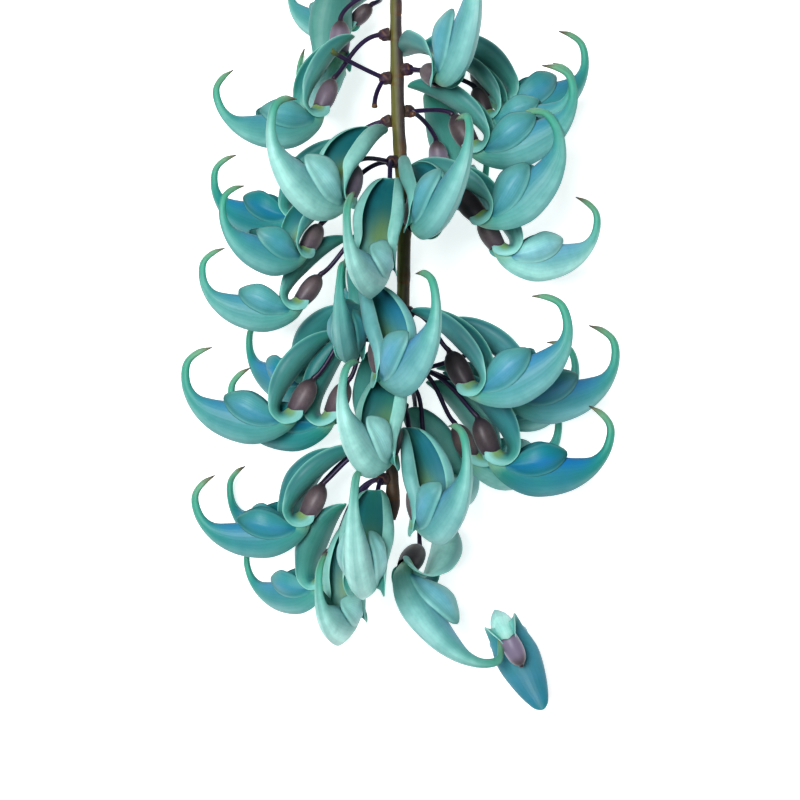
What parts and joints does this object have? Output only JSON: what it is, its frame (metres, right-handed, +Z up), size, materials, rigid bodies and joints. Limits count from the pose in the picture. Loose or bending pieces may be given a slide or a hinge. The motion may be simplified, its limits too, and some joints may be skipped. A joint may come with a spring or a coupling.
{
  "type": "jade vine flower spray",
  "caption": "Cut hanging spray of turquoise claw-shaped flowers on dark stalks along one green axis, laid down so that it rests on its lowest petals.",
  "frame": {"origin": "the middle of the spray's box, on the surface that it lies on", "axes": "+Y along the axis towards its cut top, +Z up, +X to the right seen from above with the top at the top"},
  "size_m": [0.2215, 0.3858, 0.1619],
  "materials": {
    "petal": "satin waxy",
    "calyx": "satin",
    "pedicel": "satin",
    "rachis": "satin"
  },
  "bodies": {
    "root": {"calyx_37": "calyx", "flower_01": "petal", "flower_02": "petal", "flower_03": "petal", "flower_05": "petal", "flower_06": "petal", "flower_07": "petal", "flower_08": "petal", "flower_09": "petal", "flower_10": "petal", "flower_11": "petal", "flower_12": "petal", "flower_13": "petal", "flower_14": "petal", "flower_15": "petal", "flower_16": "petal", "flower_17": "petal", "flower_18": "petal", "flower_19": "petal", "flower_20": "petal", "flower_21": "petal", "flower_22": "petal", "flower_23": "petal", "flower_24": "petal", "flower_25": "petal", "flower_26": "petal", "flower_27": "petal", "flower_28": "petal", "flower_29": "petal", "flower_30": "petal", "flower_31": "petal", "flower_32": "petal", "flower_33": "petal", "flower_34": "petal", "flower_35": "petal", "flower_36": "petal", "flower_37": "petal", "flower_38": "petal", "flower_39": "petal", "pedicels_a": "pedicel", "pedicels_b": "pedicel", "pedicels_c": "pedicel", "pedicels_d": "pedicel", "pedicels_e": "pedicel", "pedicels_f": "pedicel", "pedicels_g": "pedicel", "pedicels_h": "pedicel", "pedicels_j": "pedicel", "pedicels_k": "pedicel", "pedicels_l": "pedicel", "pedicels_m": "pedicel", "pedicels_n": "pedicel", "pedicels_o": "pedicel", "pedicels_p": "pedicel", "pedicels_q": "pedicel", "pedicels_r": "pedicel", "pedicels_s": "pedicel", "rachis": "rachis"}
  },
  "joints": []
}
